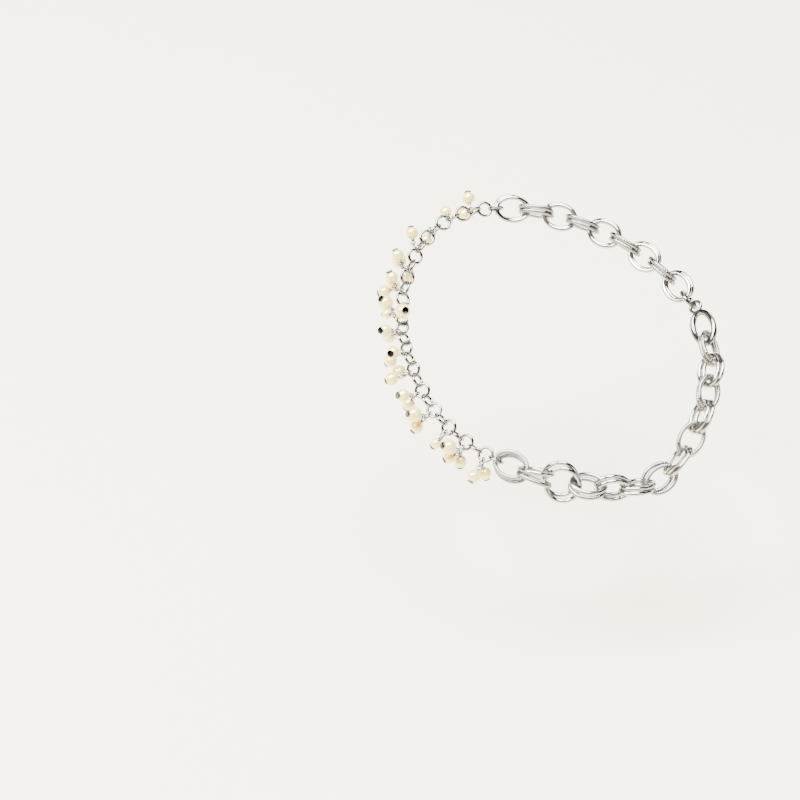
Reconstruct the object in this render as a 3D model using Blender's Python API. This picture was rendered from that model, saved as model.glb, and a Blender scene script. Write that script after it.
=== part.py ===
"""Pearl anklet: a closed loop that carries pearl drops at the front and double oval links round the back.

Frame: metres, +Z up the leg, +X to the heel, -X to the toes, -Y to the outer side of the ankle.
The origin is the middle of the loop, on the axis of the ankle that it sits round.
"""
import math

import bmesh
import bpy
from mathutils import Matrix, Vector

MM = 0.001

# Heavy double links: two round wires side by side, soldered along their length
LINK_LENGTH = 9.8 * MM
LINK_WIDTH = 7.5 * MM
LINK_WIRE = 1.2 * MM
LINK_SLACK = 0.35 * MM
ROUND_RING_DIAMETER = 9.9 * MM

# Small rings of the pearl section, soldered where they touch
SMALL_RING_DIAMETER = 4.4 * MM
SMALL_RING_WIRE = 0.7 * MM
SOLDER_DEPTH = 0.12 * MM

# Jump ring of a pearl charm, threaded through a small ring with this much air round the wire
JUMP_RING_DIAMETER = 3.0 * MM
JUMP_RING_WIRE = 0.5 * MM
JUMP_RING_AIR = 0.15 * MM

# Pearls on their head pins
LARGE_PEARL = 4.0 * MM
SMALL_PEARL = 3.4 * MM
TINY_PEARL = 2.8 * MM
PIN_WIRE = 0.5 * MM
PIN_NECK = 1.2 * MM
PIN_HEAD_DIAMETER = 1.9 * MM
PIN_HEAD_THICKNESS = 0.32 * MM
PIN_HEAD_SUNK = 0.1 * MM

# Clasp and the ring it closes on
CLASP_LENGTH = 11.0 * MM
CLASP_WIDTH = 7.4 * MM
CLASP_WIRE = 1.6 * MM
CLASP_EYE_DIAMETER = 4.0 * MM
CLASP_EYE_WIRE = 0.9 * MM
CLASP_RING_DIAMETER = 6.4 * MM
CLASP_RING_WIRE = 1.0 * MM

# How many pieces the loop holds, in order from the far front to the heel and back
SMALL_RINGS = 32
LINKS_BEFORE_CLASP = 13
LINKS_AFTER_CLASP = 9
ROUND_RING_PLACE = 3

# Facets
LINK_SIDES = 12
SMALL_SIDES = 10
WIRE_SIDES = 5
PEARL_BANDS = 4

# The loop's shape round the ankle, scaled to the length of the pieces: half depth, half width,
# and the height of the chain at each angle (180 is the front, 270 the outer side, 0 the heel)
OVAL_HALF_DEPTH = 43.0 * MM
OVAL_HALF_WIDTH = 34.2 * MM
ROUTE_START = 143
ROUTE = [
    (0, -10.5), (20, -2.0), (50, 6.0), (85, 12.0), (120, 16.5), (150, 18.3), (168, 17.3),
    (180, 14.6), (192, 10.4), (205, 4.8), (218, 1.9), (232, -2.0), (246, -7.7), (262, -11.8),
    (280, -13.8), (302, -15.6), (322, -17.2), (336, -18.2), (348, -15.8),
]

# Turn of each heavy link about the chain (0 lies flat on the ankle, 90 faces up) and how far
# its two wires stand apart at the end, both in degrees; the links after these alternate
LINK_TURNS = [
    (46, 0), (-58, 12), (18, 0), (83, 0), (-4, 0), (-69, 0), (33, 0), (-46, 0), (44, 0),
]
PLAIN_TURNS = [(-45, 0), (45, 0)]

# Turn of the even small rings about the chain, from straight out; the odd ones stand across them
CARRIER_TURN = -45

# One row for each pearl: the small ring that carries it, its swing from straight out towards up,
# its lean along the chain, both in degrees, and its size. Pearls of one ring share a jump ring.
LARGE, SMALL, TINY = LARGE_PEARL, SMALL_PEARL, TINY_PEARL
PEARLS = [
    (2, 30, -10, SMALL), (2, -40, 10, LARGE),
    (4, -10, -20, SMALL),
    (6, -60, 40, SMALL),
    (8, 50, -45, SMALL),
    (10, 40, -40, SMALL), (10, -30, -40, LARGE), (10, -85, 10, LARGE),
    (12, 50, -45, SMALL), (12, -5, 25, SMALL), (12, -55, -35, SMALL),
    (14, 55, -5, LARGE), (14, -50, -25, TINY),
    (15, 110, 30, LARGE),
    (16, 40, 20, SMALL), (16, -70, -30, LARGE),
    (18, 50, 30, SMALL), (18, -60, 0, SMALL),
    (20, -20, 0, SMALL), (20, -80, -40, LARGE),
    (22, 20, -10, SMALL), (22, -75, 10, SMALL),
    (24, 20, -20, LARGE), (24, -40, 10, SMALL),
    (26, -70, -10, TINY),
    (28, 30, -30, LARGE), (28, -40, -30, TINY), (28, -90, 10, SMALL),
    (30, -40, 0, SMALL), (30, -100, 20, SMALL),
]

METAL = (0.80, 0.80, 0.82, 1.0)
NACRE = (0.90, 0.86, 0.76, 1.0)


def pentagon(wire, first_angle=-90):
    """Corners of a wire's section as (along the axis of the ring, away from its middle)."""
    radius = wire / 2
    step = 360 / WIRE_SIDES
    angles = [math.radians(first_angle + step * k) for k in range(WIRE_SIDES)]
    return [(radius * math.cos(a), radius * math.sin(a)) for a in angles]


def double_section(wire):
    """Section of two wires side by side that share one flat side."""
    right = [(x + flat_reach(wire), y) for x, y in pentagon(wire, 0)]
    left = [(-x, y) for x, y in right]
    shared = right[2], right[3]
    return [right[0], right[1], shared[0], left[1], left[0], left[4], shared[1], right[4]]


def flat_reach(wire):
    """Distance from the middle of a wire to one of its flat sides."""
    return wire / 2 * math.cos(math.pi / WIRE_SIDES)


def side_reach(wire):
    """Half width of a wire's section across the ring, with one corner along the axis."""
    return wire / 2 * math.sin(2 * math.pi / WIRE_SIDES)


def double_half_thickness(wire):
    return wire / 2 + flat_reach(wire)


def add_ring(bm, half_length, half_width, section, sides, matrix=None):
    """Sweeps a section round an oval whose middle line has the given half sizes."""
    matrix = matrix or Matrix()
    rows = []
    for k in range(sides):
        angle = 2 * math.pi * k / sides
        middle = Vector((half_length * math.cos(angle), half_width * math.sin(angle), 0))
        away = Vector((half_width * math.cos(angle), half_length * math.sin(angle), 0)).normalized()
        rows.append([bm.verts.new(matrix @ (middle + away * r + Vector((0, 0, h)))) for h, r in section])
    count = len(section)
    for k in range(sides):
        here, there = rows[k], rows[(k + 1) % sides]
        for j in range(count):
            bm.faces.new((here[j], here[(j + 1) % count], there[(j + 1) % count], there[j]))


def add_turned(bm, profile, sides, matrix):
    """Adds a closed body turned about Z from its (radius, height) outline."""
    rows = []
    for radius, height in profile:
        angles = [2 * math.pi * k / sides for k in range(sides)]
        row = [Vector((radius * math.cos(a), radius * math.sin(a), height)) for a in angles]
        rows.append([bm.verts.new(matrix @ point) for point in row])
    for low, high in zip(rows, rows[1:]):
        for k in range(sides):
            bm.faces.new((low[k], low[(k + 1) % sides], high[(k + 1) % sides], high[k]))
    bm.faces.new(reversed(rows[0]))
    bm.faces.new(rows[-1])


def drop_outline(size):
    """Outline of a pearl on its head pin, from the start of the pin to the face of its head."""
    pin = PIN_WIRE / 2
    head = PIN_HEAD_DIAMETER / 2
    radius = size / 2
    middle = PIN_NECK + radius
    first = math.asin(pin / radius)
    last = math.pi - math.asin(head / radius)
    angles = [first + (last - first) * k / PEARL_BANDS for k in range(PEARL_BANDS + 1)]
    pearl = [(radius * math.sin(a), middle - radius * math.cos(a)) for a in angles]
    face = middle + radius - PIN_HEAD_SUNK + PIN_HEAD_THICKNESS
    return [(pin, 0)] + pearl + [(head, face)]


def finished_material(name, colour, metallic, roughness):
    material = bpy.data.materials.new(name)
    material.use_nodes = True
    shader = material.node_tree.nodes["Principled BSDF"]
    shader.inputs["Base Color"].default_value = colour
    shader.inputs["Metallic"].default_value = metallic
    shader.inputs["Roughness"].default_value = roughness
    return material


def metal(name):
    return finished_material(name + "_metal", METAL, 1.0, 0.12)


def nacre(name):
    return finished_material(name + "_nacre", NACRE, 0.0, 0.22)


def make_object(name, bm, matrix, *materials):
    """Turns a bmesh into an object of its own, shaded smooth over its round sides."""
    bmesh.ops.recalc_face_normals(bm, faces=bm.faces)
    mesh = bpy.data.meshes.new(name)
    bm.to_mesh(mesh)
    bm.free()
    mesh.shade_smooth()
    mesh.set_sharp_from_angle(angle=math.radians(80))
    for material in materials:
        mesh.materials.append(material)
    thing = bpy.data.objects.new(name, mesh)
    bpy.context.collection.objects.link(thing)
    thing.matrix_world = matrix
    return thing


def fuse(thing, tool):
    """Joins two overlapping objects into one body and drops the second."""
    union = thing.modifiers.new("union", "BOOLEAN")
    union.operation = "UNION"
    union.solver = "EXACT"
    union.material_mode = "TRANSFER"
    union.object = tool
    bpy.context.view_layer.update()
    graph = bpy.context.evaluated_depsgraph_get()
    joined = bpy.data.meshes.new_from_object(thing.evaluated_get(graph))
    thing.modifiers.remove(union)
    thing.data = joined
    bpy.data.objects.remove(tool)
    return thing


class Route:
    """The closed middle line of the chain, as long as the pieces laid along it."""

    STEPS = 1440

    def __init__(self, length):
        samples = [self.point(360 * k / self.STEPS + ROUTE_START) for k in range(self.STEPS + 1)]
        self.travel = [0.0]
        for before, after in zip(samples, samples[1:]):
            self.travel.append(self.travel[-1] + (after - before).length)
        self.scale = length / self.travel[-1]
        self.length = length

    @staticmethod
    def height(angle):
        """Height at an angle, on a smooth closed curve through the chosen points."""
        angle %= 360
        count = len(ROUTE)
        after = next((k for k in range(count) if ROUTE[k][0] > angle), count)
        around = [(after + k) % count for k in (-2, -1, 0, 1)]
        turns = [(after + k) // count * 360 for k in (-2, -1, 0, 1)]
        a0, a1, a2, a3 = (ROUTE[k][0] + turn for k, turn in zip(around, turns))
        h0, h1, h2, h3 = (ROUTE[k][1] * MM for k in around)
        slope1 = (h2 - h0) / (a2 - a0) * (a2 - a1)
        slope2 = (h3 - h1) / (a3 - a1) * (a2 - a1)
        f = (angle - a1) / (a2 - a1)
        start = (1 + 2 * f) * (1 - f) ** 2 * h1 + f * (1 - f) ** 2 * slope1
        return start + f * f * (3 - 2 * f) * h2 - f * f * (1 - f) * slope2

    def point(self, angle):
        turn = math.radians(angle)
        x = OVAL_HALF_DEPTH * math.cos(turn)
        y = OVAL_HALF_WIDTH * math.sin(turn)
        return Vector((x, y, self.height(angle)))

    def angle_at(self, place):
        """Angle round the ankle at a distance along the loop."""
        wanted = place % self.length / self.scale
        low, high = 0, self.STEPS
        while high - low > 1:
            middle = (low + high) // 2
            if self.travel[middle] <= wanted:
                low = middle
            else:
                high = middle
        share = (wanted - self.travel[low]) / (self.travel[high] - self.travel[low])
        return 360 * (low + share) / self.STEPS + ROUTE_START

    def frame(self, place):
        """Middle, direction along the chain, direction away from the ankle, and the third one, up."""
        angle = self.angle_at(place)
        along = (self.point(angle + 0.5) - self.point(angle - 0.5)).normalized()
        turn = math.radians(angle)
        away = Vector((OVAL_HALF_WIDTH * math.cos(turn), OVAL_HALF_DEPTH * math.sin(turn), 0))
        away = (away - along * away.dot(along)).normalized()
        return self.point(angle) * self.scale, along, away, away.cross(along)


def turned(away, up, degrees):
    """Direction that far round from straight out towards up."""
    turn = math.radians(degrees)
    return away * math.cos(turn) + up * math.sin(turn)


def piece_matrix(middle, along, normal):
    """Places a ring: its length along the chain, its axis along the normal."""
    across = normal.cross(along)
    matrix = Matrix((along, across, normal)).transposed().to_4x4()
    matrix.translation = middle
    return matrix


class Piece:
    """One piece of the loop: its name, the room inside it and its own thickness."""

    def __init__(self, name, length, width, wire_across, half_thickness, near_end=None):
        self.name = name
        self.inner_length = length / 2 - wire_across
        self.inner_width = width / 2 - wire_across
        self.half_thickness = half_thickness
        self.near_end = near_end
        self.place = 0.0

    def grip(self, neighbour):
        """How far from the middle the neighbour's end can sit inside this piece."""
        share = neighbour.half_thickness / self.inner_width
        return self.inner_length * math.sqrt(1 - share * share)


def loop_pieces():
    """The pieces of the loop in order, without their places."""
    across = 2 * side_reach(LINK_WIRE)
    thick = double_half_thickness(LINK_WIRE)
    small = SMALL_RING_WIRE
    pieces = []
    for k in range(SMALL_RINGS):
        pieces.append(Piece("small_ring", SMALL_RING_DIAMETER, SMALL_RING_DIAMETER, small, small / 2))
    for k in range(1, LINKS_BEFORE_CLASP + LINKS_AFTER_CLASP + 1):
        if k == ROUND_RING_PLACE:
            pieces.append(Piece("polished_round_ring", ROUND_RING_DIAMETER, ROUND_RING_DIAMETER, across, thick))
        else:
            pieces.append(Piece(f"double_link_{k:02d}", LINK_LENGTH, LINK_WIDTH, across, thick))
        if k == LINKS_BEFORE_CLASP:
            pieces.append(Piece("clasp", CLASP_LENGTH, CLASP_WIDTH, CLASP_WIRE, CLASP_WIRE / 2))
            wire = CLASP_RING_WIRE
            pieces.append(Piece("clasp_ring", CLASP_RING_DIAMETER, CLASP_RING_DIAMETER, wire, wire / 2))
    return pieces


def clasp_eye_middle():
    """Distance from the middle of the clasp to the middle of its eye."""
    return CLASP_LENGTH / 2 - CLASP_WIRE / 2 + CLASP_EYE_DIAMETER / 2


def pitch(first, second):
    """Distance between the middles of two neighbours."""
    if first.name == second.name == "small_ring":
        return SMALL_RING_DIAMETER - 2 * SMALL_RING_WIRE + SOLDER_DEPTH
    if first.name == "clasp":
        eye_room = CLASP_EYE_DIAMETER / 2 - CLASP_EYE_WIRE
        return clasp_eye_middle() + eye_room + second.grip(first) - LINK_SLACK
    return first.grip(second) + second.grip(first) - LINK_SLACK


def lay_out():
    """Gives every piece its place along the loop, and makes the route as long as they are."""
    pieces = loop_pieces()
    place = 0.0
    for before, piece in zip(pieces, pieces[1:]):
        place += pitch(before, piece)
        piece.place = place
    return pieces, Route(place + pitch(pieces[-1], pieces[0]))


def small_ring_turn(number):
    """Turn of a small ring's plane: neighbours stand at right angles."""
    return CARRIER_TURN + 90 if number % 2 else CARRIER_TURN


def make_small_ring_chain(pieces, route):
    """The rings of the pearl section, fused into one body."""
    halves = [bmesh.new(), bmesh.new()]
    radius = (SMALL_RING_DIAMETER - SMALL_RING_WIRE) / 2
    for k, piece in enumerate(pieces):
        middle, along, away, up = route.frame(piece.place)
        normal = turned(away, up, small_ring_turn(k) + 90)
        matrix = piece_matrix(middle, along, normal)
        add_ring(halves[k % 2], radius, radius, pentagon(SMALL_RING_WIRE), SMALL_SIDES, matrix)
    name = "small_ring_chain"
    chain = make_object(name, halves[0], Matrix(), metal(name))
    return fuse(chain, make_object("even_rings", halves[1], Matrix(), chain.data.materials[0]))


def charm_places(number, rows, piece, route):
    """Where a small ring's jump ring and pins lie, in the anklet's frame."""
    middle, along, away, up = route.frame(piece.place)
    corner = math.cos(math.pi / SMALL_SIDES)
    radius = (SMALL_RING_DIAMETER - SMALL_RING_WIRE) / 2
    wire_middle = middle + turned(away, up, small_ring_turn(number)) * radius * corner
    jump_radius = (JUMP_RING_DIAMETER - JUMP_RING_WIRE) / 2
    room = jump_radius * corner - (JUMP_RING_WIRE + SMALL_RING_WIRE) / 2 - JUMP_RING_AIR
    hang = turned(away, up, sum(row[1] for row in rows) / len(rows))
    jump_middle = wire_middle + hang * room
    pins = []
    for _, swing, lean, size in rows:
        outwards = turned(away, up, swing)
        tilt = math.radians(lean)
        start = jump_middle + outwards * jump_radius
        pins.append((start, outwards * math.cos(tilt) + along * math.sin(tilt), size))
    return jump_middle, jump_radius, along, hang, pins


def make_pearl_charm(name, places):
    """One jump ring with its pearls on head pins, fused into one body."""
    jump_middle, jump_radius, along, hang, pins = places
    silver = metal(name)
    bm = bmesh.new()
    matrix = piece_matrix(jump_middle, hang, along)
    add_ring(bm, jump_radius, jump_radius, pentagon(JUMP_RING_WIRE), SMALL_SIDES, matrix)
    charm = make_object(name, bm, Matrix(), silver, nacre(name))
    for start, direction, size in pins:
        bm = bmesh.new()
        turn = direction.to_track_quat("Z", "Y").to_matrix().to_4x4()
        add_turned(bm, drop_outline(size), SMALL_SIDES, Matrix.Translation(start) @ turn)
        for face in bm.faces:
            reach = (face.calc_center_median() - start).dot(direction)
            face.material_index = int(PIN_NECK < reach < PIN_NECK + size - PIN_HEAD_SUNK)
        fuse(charm, make_object(name + "_drop", bm, Matrix(), silver, charm.data.materials[1]))
    return charm


def make_pearl_charms(pieces, route):
    """The charms in order along the chain."""
    carriers = sorted({row[0] for row in PEARLS})
    for count, number in enumerate(carriers, 1):
        rows = [row for row in PEARLS if row[0] == number]
        make_pearl_charm(f"pearl_charm_{count:02d}", charm_places(number, rows, pieces[number], route))


def make_double_link(piece, matrix, half_length, half_width, splay):
    """Two wires side by side; with a splay they are hinged apart from one end."""
    if not splay:
        bm = bmesh.new()
        add_ring(bm, half_length, half_width, double_section(LINK_WIRE), LINK_SIDES)
        return make_object(piece.name, bm, matrix, metal(piece.name))
    shells = []
    for side in (1, -1):
        bm = bmesh.new()
        hinge = Matrix.Translation((-half_length, 0, side * flat_reach(LINK_WIRE)))
        tilt = Matrix.Rotation(math.radians(-side * splay / 2), 4, "Y")
        place = hinge @ tilt @ Matrix.Translation((half_length, 0, 0))
        section = [(side * h, r) for h, r in pentagon(LINK_WIRE, 0)]
        add_ring(bm, half_length, half_width, section, LINK_SIDES, place)
        shells.append(make_object(piece.name, bm, matrix, metal(piece.name)))
    return fuse(*shells)


def make_clasp(piece, matrix):
    """A plain closed claw with an eye at its end, in one piece."""
    bm = bmesh.new()
    middle = (CLASP_LENGTH - CLASP_WIRE) / 2, (CLASP_WIDTH - CLASP_WIRE) / 2
    add_ring(bm, *middle, pentagon(CLASP_WIRE, 0), LINK_SIDES)
    claw = make_object(piece.name, bm, matrix, metal(piece.name))
    bm = bmesh.new()
    radius = (CLASP_EYE_DIAMETER - CLASP_EYE_WIRE) / 2
    at_end = Matrix.Translation((clasp_eye_middle(), 0, 0))
    add_ring(bm, radius, radius, pentagon(CLASP_EYE_WIRE, 0), SMALL_SIDES, at_end)
    return fuse(claw, make_object("clasp_eye", bm, matrix, claw.data.materials[0]))


def make_clasp_ring(piece, matrix):
    bm = bmesh.new()
    radius = (CLASP_RING_DIAMETER - CLASP_RING_WIRE) / 2
    add_ring(bm, radius, radius, pentagon(CLASP_RING_WIRE), LINK_SIDES)
    return make_object(piece.name, bm, matrix, metal(piece.name))


def make_back(pieces, route):
    """The heavy links, the clasp and its ring."""
    inset = side_reach(LINK_WIRE)
    rows = LINK_TURNS + PLAIN_TURNS * len(pieces)
    for piece, (turn, splay) in zip(pieces, rows):
        middle, along, away, up = route.frame(piece.place)
        matrix = piece_matrix(middle, along, turned(away, up, turn))
        if piece.name == "clasp":
            make_clasp(piece, matrix)
        elif piece.name == "clasp_ring":
            make_clasp_ring(piece, matrix)
        elif piece.name == "polished_round_ring":
            half = ROUND_RING_DIAMETER / 2 - inset
            make_double_link(piece, matrix, half, half, splay)
        else:
            make_double_link(piece, matrix, LINK_LENGTH / 2 - inset, LINK_WIDTH / 2 - inset, splay)


def main():
    for thing in list(bpy.data.objects):
        bpy.data.objects.remove(thing)
    pieces, route = lay_out()
    make_small_ring_chain(pieces[:SMALL_RINGS], route)
    make_pearl_charms(pieces[:SMALL_RINGS], route)
    make_back(pieces[SMALL_RINGS:], route)


main()
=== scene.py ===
"""Pearl anklet: the visual model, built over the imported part's frame, with its stage and camera.

Everything is in metres in the part's frame: +Z up the leg, -X to the toes, -Y to the outer side.
"""
import math

import bmesh
import bpy
from bpy.props import FloatProperty, FloatVectorProperty, IntProperty, PointerProperty
from mathutils import Matrix, Vector


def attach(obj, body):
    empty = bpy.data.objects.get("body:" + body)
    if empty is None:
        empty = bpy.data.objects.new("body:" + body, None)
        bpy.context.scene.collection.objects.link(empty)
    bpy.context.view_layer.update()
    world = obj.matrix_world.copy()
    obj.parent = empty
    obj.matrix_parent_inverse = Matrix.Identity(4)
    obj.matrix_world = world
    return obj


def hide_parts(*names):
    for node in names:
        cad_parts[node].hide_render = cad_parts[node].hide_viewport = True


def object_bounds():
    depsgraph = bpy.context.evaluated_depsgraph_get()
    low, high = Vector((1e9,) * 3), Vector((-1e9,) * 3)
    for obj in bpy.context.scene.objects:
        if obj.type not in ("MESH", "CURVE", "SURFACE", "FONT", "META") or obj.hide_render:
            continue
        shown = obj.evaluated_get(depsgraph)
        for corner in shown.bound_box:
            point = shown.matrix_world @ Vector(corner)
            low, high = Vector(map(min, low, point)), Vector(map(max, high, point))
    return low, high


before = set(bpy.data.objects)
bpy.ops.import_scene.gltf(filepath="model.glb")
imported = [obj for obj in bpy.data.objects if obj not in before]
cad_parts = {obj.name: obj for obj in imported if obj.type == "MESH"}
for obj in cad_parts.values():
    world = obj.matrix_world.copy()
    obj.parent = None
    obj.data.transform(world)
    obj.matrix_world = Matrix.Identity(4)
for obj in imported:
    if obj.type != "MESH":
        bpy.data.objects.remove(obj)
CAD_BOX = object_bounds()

bl_info = {
    "name": "Pearl anklet",
    "version": (1, 0, 0),
    "blender": (4, 5, 0),
    "location": "3D View > Sidebar > Anklet",
    "description": "Builds a pearl anklet piece by piece and sets it on a pale stage",
    "category": "Object",
}

MM = 0.001

# The part's own sizes, which the pieces here are fitted to
LINK_LENGTH = 9.8 * MM
LINK_WIDTH = 7.5 * MM
LINK_WIRE = 1.2 * MM
LINK_SLACK = 0.35 * MM
ROUND_RING_DIAMETER = 9.9 * MM
SMALL_RING_DIAMETER = 4.4 * MM
SMALL_RING_WIRE = 0.7 * MM
SOLDER_DEPTH = 0.12 * MM
JUMP_RING_DIAMETER = 3.0 * MM
JUMP_RING_WIRE = 0.5 * MM
JUMP_RING_AIR = 0.15 * MM
LARGE_PEARL = 4.0 * MM
SMALL_PEARL = 3.4 * MM
TINY_PEARL = 2.8 * MM
PIN_NECK = 1.2 * MM
PIN_HEAD_DIAMETER = 1.9 * MM
PIN_HEAD_THICKNESS = 0.32 * MM
PIN_HEAD_SUNK = 0.1 * MM
CLASP_LENGTH = 11.0 * MM
CLASP_WIDTH = 7.4 * MM
CLASP_WIRE = 1.6 * MM
CLASP_EYE_DIAMETER = 4.0 * MM
CLASP_EYE_WIRE = 0.9 * MM
CLASP_RING_DIAMETER = 6.4 * MM
CLASP_RING_WIRE = 1.0 * MM
SMALL_RINGS = 32
LINKS_BEFORE_CLASP = 13
LINKS_AFTER_CLASP = 9
ROUND_RING_PLACE = 3
SMALL_SIDES = 10
WIRE_SIDES = 5

# The loop's shape round the ankle: half depth, half width, and the chain's height at each angle
OVAL_HALF_DEPTH = 43.0 * MM
OVAL_HALF_WIDTH = 34.2 * MM
ROUTE_START = 143
ROUTE = [
    (0, -10.5), (20, -2.0), (50, 6.0), (85, 12.0), (120, 16.5), (150, 18.3), (168, 17.3),
    (180, 14.6), (192, 10.4), (205, 4.8), (218, 1.9), (232, -2.0), (246, -7.7), (262, -11.8),
    (280, -13.8), (302, -15.6), (322, -17.2), (336, -18.2), (348, -15.8),
]

# Turn of each heavy link about the chain and how far its wires stand apart at the end, in degrees
LINK_TURNS = [
    (46, 0), (-58, 12), (18, 0), (83, 0), (-4, 0), (-69, 0), (33, 0), (-46, 0), (44, 0),
]
PLAIN_TURNS = [(-45, 0), (45, 0)]
CARRIER_TURN = -45

# How far the two loose wires of a heavy link lie apart in their own plane, in mm along the chain
# and across it; links further on take the later shift
WIRE_SHIFTS = {
    1: (-0.5, 0.8), 2: (0, 0.2), 3: (0.9, -1.0), 4: (0.2, 0.7), 5: (0.3, -0.6), 6: (-0.4, 0.4),
    7: (0.4, -0.8),
}
LATER_SHIFT = (0.3, 0.5)

# How far each wire stands from the middle of its link, in wire thicknesses
WIRE_ASIDE = 0.48

# Which of a heavy link's two wires are ribbed: the one on the side of its normal, and the other.
# From RIBBED_BEYOND on, every second link has both ribbed.
RIBBED = {1: (1, 1), 2: (1, 0), 4: (0, 1), 7: (1, 1), 9: (1, 1)}
RIBBED_BEYOND = 10

# Sway of the small rings: the step from ring to ring in radians, and for the odd rings the share
# that wanders and the share that always leans
SWAY_STEP = 2.4
ODD_WANDER = 0.4
ODD_LEAN = -0.6

# One row for each pearl: its ring, its swing and lean in degrees, and its size
LARGE, SMALL, TINY = LARGE_PEARL, SMALL_PEARL, TINY_PEARL
PEARLS = [
    (2, 30, -10, SMALL), (2, -40, 10, LARGE),
    (4, -10, -20, SMALL),
    (6, -60, 40, SMALL),
    (8, 50, -45, SMALL),
    (10, 40, -40, SMALL), (10, -30, -40, LARGE), (10, -85, 10, LARGE),
    (12, 50, -45, SMALL), (12, -5, 25, SMALL), (12, -55, -35, SMALL),
    (14, 55, -5, LARGE), (14, -50, -25, TINY),
    (15, 110, 30, LARGE),
    (16, 40, 20, SMALL), (16, -70, -30, LARGE),
    (18, 50, 30, SMALL), (18, -60, 0, SMALL),
    (20, -20, 0, SMALL), (20, -80, -40, LARGE),
    (22, 20, -10, SMALL), (22, -75, 10, SMALL),
    (24, 20, -20, LARGE), (24, -40, 10, SMALL),
    (26, -70, -10, TINY),
    (28, 30, -30, LARGE), (28, -40, -30, TINY), (28, -90, 10, SMALL),
    (30, -40, 0, SMALL), (30, -100, 20, SMALL),
]

# The pin's eye and the coil under it: angles in degrees, coil sizes in wire thicknesses
EYE_DIAMETER = 1.06 * MM
EYE_LIFT = 0.22 * MM
EYE_START = -70
EYE_SWEEP = 335
COIL_RADIUS = 0.95
COIL_PITCH = 1.02

# Angle on a bent ring where its cut lies, in degrees
CUT_ANGLE = 200

# How finely the round forms are made
RING_SIDES = 12
SMALL_RING_STEPS = 44
JUMP_RING_STEPS = 36
PIN_SIDES = 9
EYE_STEPS = 28
COIL_STEPS = 14
HEAD_SIDES = 28
RIM_STEPS = 6
LINK_SIDES = 16
OVAL_STEPS = 720
CLASP_STEPS = 96

# Points along the path for each rib: the last one lies down in the groove
RIB_POINTS = 3

# Roughness of each metal and the strength of its scratches
FINISHES = {
    "small_ring_silver": (0.08, 0.05),
    "pin_silver": (0.06, 0.04),
    "pin_head_silver": (0.05, 0.04),
    "link_silver": (0.06, 0.05),
    "ribbed_link_silver": (0.11, 0.08),
    "clasp_silver": (0.08, 0.06),
}
# Near-black colour painted down in the grooves of the ribbed links as painted shade
GROOVE_SHADE_COLOUR = (0.02, 0.02, 0.022)

# Scale of the patterns: clouds and grains in the metal, its hair scratches, which are drawn out
# to one side, the pearls' body tone, layers, warp and swell, and the floor's tone
CLOUD_SCALE = 260
GRAIN_SCALE = 5200
HAIR_STRETCH = (900, 7000, 900)
BODY_SCALE = 170
LAYER_SCALE = 1500
WARP_SCALE = 420
SWELL_SCALE = 330
PAPER_SCALE = 3

# The soft lights: place, size across, and the stage's power that each takes
LIGHTS = {
    "key_light": ((-0.35, -0.45, 0.80), 0.45, "key_power"),
    "side_light": ((0.75, -0.20, 0.35), 0.30, "side_power"),
    "back_light": ((-0.10, 0.80, 0.60), 0.40, "back_power"),
}
OVERHEAD_SPREAD = 34
FLOOR_REACH = 3.0

# The room: scale of its panels, the noise at which they start and are full, and the heights
# between which the pale horizon fades in
PANEL_SCALE = 2.4
PANEL_EDGE = (0.53, 0.56)
HORIZON_EDGE = (0.20, 0.08)

# The camera: its compass turn and height in degrees, its lens, its distance along the view,
# and the pixel of the 800 x 800 frame where the anklet's origin falls
CAMERA_AZIMUTH = 38
CAMERA_ELEVATION = 38
CAMERA_LENS = 100
CAMERA_DEPTH = 0.578
FRAME_PIXELS = 800
ORIGIN_PIXEL = (554, 345)
SENSOR = 36


def flat_reach(wire):
    """Distance from the middle of a wire to the flat side that it shares in a double link."""
    return wire / 2 * math.cos(math.pi / WIRE_SIDES)


def side_reach(wire):
    """Half width of a wire's section across its ring."""
    return wire / 2 * math.sin(2 * math.pi / WIRE_SIDES)


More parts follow.
